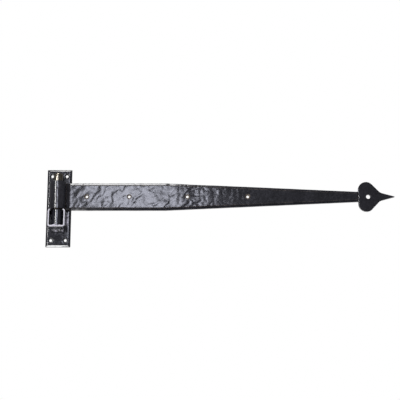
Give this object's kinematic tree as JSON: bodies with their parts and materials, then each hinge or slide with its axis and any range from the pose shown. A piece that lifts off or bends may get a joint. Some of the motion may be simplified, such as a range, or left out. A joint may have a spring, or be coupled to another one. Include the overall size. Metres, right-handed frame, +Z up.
{
  "type": "door hinge",
  "caption": "Long forged strap hinge with a rolled eye and a spade finial, lifting off a vertical pin on a bracketed back plate.",
  "frame": {"origin": "centre of the back plate's four screw holes, on the plate's back face where it meets the jamb", "axes": "+X along the closed strap towards its finial, +Y into the jamb and the door, +Z up the pin"},
  "size_m": [0.6177, 0.0352, 0.14],
  "materials": {
    "black_paint": "glossy black paint over hammered iron",
    "weld_paint": "black paint over rippled weld",
    "bare_steel": "oily bare steel"
  },
  "bodies": {
    "hook": {"back_plate": "black_paint", "bracket": "black_paint", "bracket_floor_weld": "weld_paint", "bracket_side_welds": "weld_paint", "pin_socket": "black_paint", "socket_weld": "weld_paint"},
    "pin": {"pintle_pin": "bare_steel"},
    "strap_leaf": {"strap": "black_paint", "strap_eye": "black_paint", "eye_weld": "weld_paint", "finial": "black_paint", "finial_weld": "weld_paint"}
  },
  "joints": [
    {"name": "swing", "type": "hinge", "parent": "hook", "child": "pin", "pos_m": [0, -0.021, 0.0193], "axis": [0, 0, -1], "range_deg": [0, 180]},
    {"name": "lift_off", "type": "slide", "parent": "pin", "child": "strap_leaf", "axis": [0, 0, 1], "range_m": [0, 0.07]}
  ]
}
